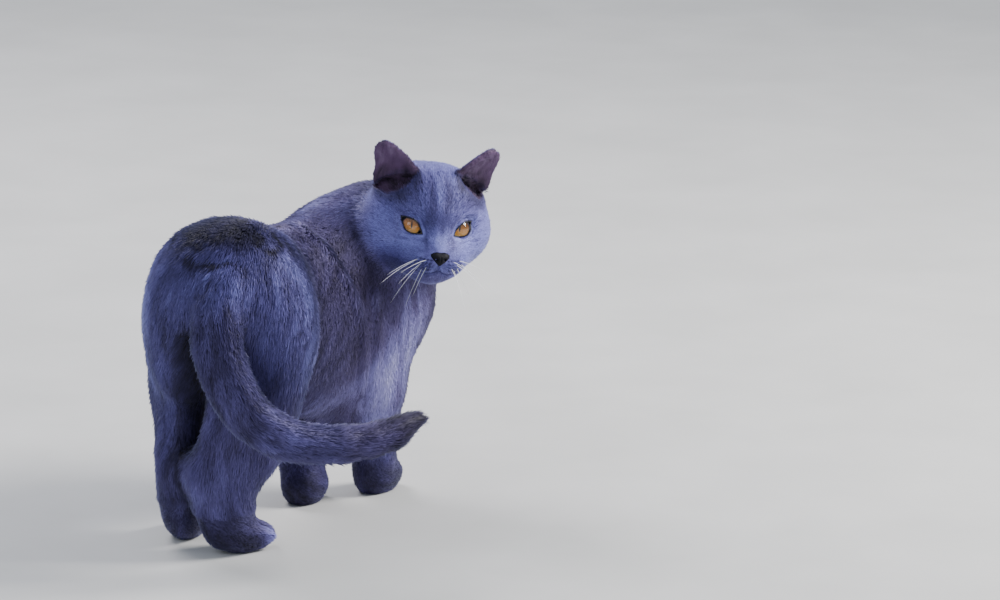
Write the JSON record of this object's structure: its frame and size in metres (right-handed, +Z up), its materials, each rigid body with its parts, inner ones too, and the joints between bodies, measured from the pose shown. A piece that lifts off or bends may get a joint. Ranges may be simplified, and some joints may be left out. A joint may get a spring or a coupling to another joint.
{
  "type": "cat",
  "caption": "Life-size still model of a stout blue shorthair cat standing in mid-stride, head turned back over its right shoulder, tail swept out to the right.",
  "frame": {"origin": "on the floor under the middle of the cat's box", "axes": "+Z up, the chest faces -Y, the cat's left side is towards +X"},
  "size_m": [0.2948, 0.4238, 0.3647],
  "materials": {
    "coat": "short dense blue-grey fur with paler tips",
    "nose_leather": "slate-black, finely pebbled and slightly moist",
    "eye": "copper iris with a dark slit pupil under a clear wet cornea",
    "whisker": "white tapered whisker"
  },
  "bodies": {
    "root": {"neck": "coat", "shoulder_left": "coat", "chest": "coat", "shoulder_right": "coat", "forearm_left": "coat", "forepaw_left": "coat", "forearm_right": "coat", "forepaw_right": "coat", "ribcage": "coat", "loin": "coat", "rump": "coat", "thigh_left": "coat", "shank_left": "coat", "hind_foot_left": "coat", "thigh_right": "coat", "shank_right": "coat", "hind_foot_right": "coat", "tail_base": "coat", "tail_middle": "coat", "tail_tip": "coat", "head": "coat", "muzzle": "coat", "lower_jaw": "coat", "ear_left": "coat", "ear_right": "coat", "nose": "nose_leather", "eye_left": "eye", "eye_right": "eye"}
  },
  "joints": []
}
